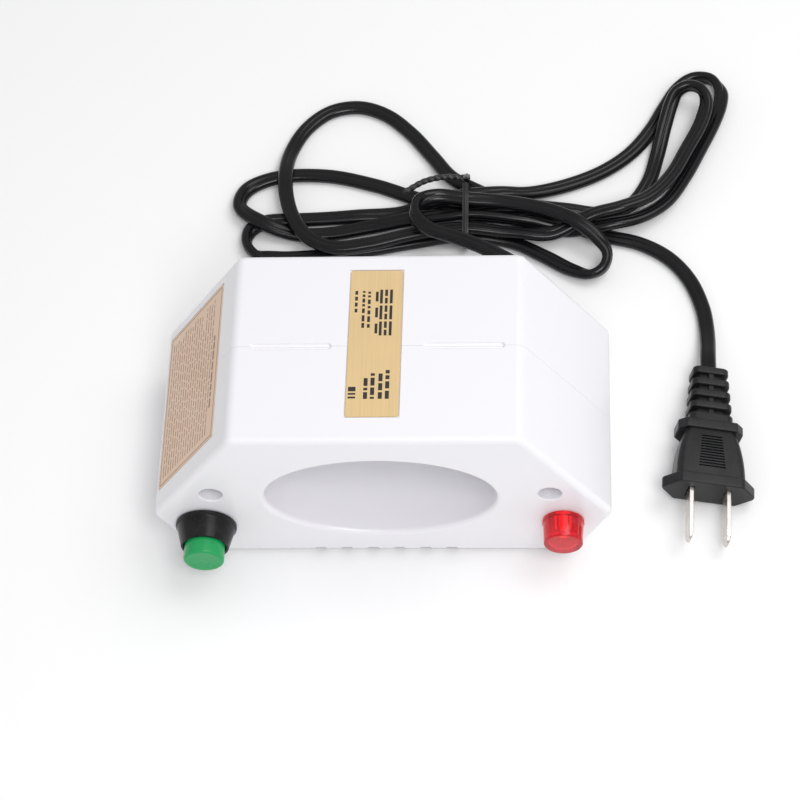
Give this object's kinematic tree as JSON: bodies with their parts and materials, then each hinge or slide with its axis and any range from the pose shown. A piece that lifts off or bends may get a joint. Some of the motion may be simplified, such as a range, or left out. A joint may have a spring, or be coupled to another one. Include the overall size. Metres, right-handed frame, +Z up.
{
  "type": "tunnel demagnetizer",
  "caption": "Bench demagnetizer: six-sided white box with an elliptical tunnel through its coil, a green push button, a red lamp and a tied mains cord with a flat two-blade plug.",
  "frame": {"origin": "on the surface the feet stand on, at the centre of the footprint of the case with its button and cord outlet, the cord itself left out", "axes": "+X to the right seen from the front, +Y from the front face to the rear face along the tunnel, +Z up"},
  "size_m": [0.1982, 0.2156, 0.072],
  "materials": {
    "white_plastic": "satin white ABS",
    "nylon": "natural nylon",
    "enamelled_copper": "enamelled copper wire",
    "insulating_tape": "yellow polyester tape",
    "black_plastic": "satin",
    "green_plastic": "satin gloss",
    "zinc_plated_steel": "zinc plated",
    "brass_sheet": "stamped sheet",
    "red_lens": "translucent red",
    "bulb_glass": "clear glass",
    "resistor_body": "lacquered ceramic",
    "black_pvc": "satin flexible PVC",
    "red_insulation": "PVC insulation",
    "blue_insulation": "PVC insulation",
    "peach_label": "printed label",
    "gold_label": "brushed gold foil",
    "nickel_plate": "nickel plated brass",
    "rubber": "matt"
  },
  "bodies": {
    "case": {"button_bezel": "black_plastic", "button_ring_nut": "black_plastic", "case_screw_left": "zinc_plated_steel", "case_screw_right": "zinc_plated_steel", "coil_bobbin": "nylon", "coil_feed_lead": "red_insulation", "coil_return_lead": "blue_insulation", "coil_tape": "insulating_tape", "coil_winding": "enamelled_copper", "cord_outlet": "black_pvc", "foot_front_left": "rubber", "foot_front_right": "rubber", "foot_rear_left": "rubber", "foot_rear_right": "rubber", "front_shell": "white_plastic", "instruction_label": "peach_label", "lamp_bulb": "bulb_glass", "lamp_clip": "zinc_plated_steel", "lamp_holder": "black_plastic", "lamp_lens": "red_lens", "lamp_live_lead": "red_insulation", "lamp_neutral_lead": "blue_insulation", "lamp_resistor": "resistor_body", "live_splice": "nylon", "mains_live_lead": "red_insulation", "mains_neutral_lead": "blue_insulation", "neutral_splice": "nylon", "plug_blade_left": "nickel_plate", "plug_blade_right": "nickel_plate", "plug_body": "black_pvc", "power_cord": "black_pvc", "rating_label": "gold_label", "rear_shell": "white_plastic", "switch_contact_left": "brass_sheet", "switch_contact_right": "brass_sheet", "switch_feed_lead": "red_insulation", "switch_housing": "black_plastic", "twist_tie": "black_pvc"},
    "button": {"button_cap": "green_plastic", "button_plunger": "nylon", "switch_bridge": "brass_sheet", "button_spring": "zinc_plated_steel"}
  },
  "joints": [
    {"name": "button_press", "type": "slide", "parent": "case", "child": "button", "axis": [0, 1, 0], "range_m": [0, 0.0025], "stiffness_N_per_m": 300, "springref_m": -0.002, "deforming": ["button_spring"]}
  ]
}
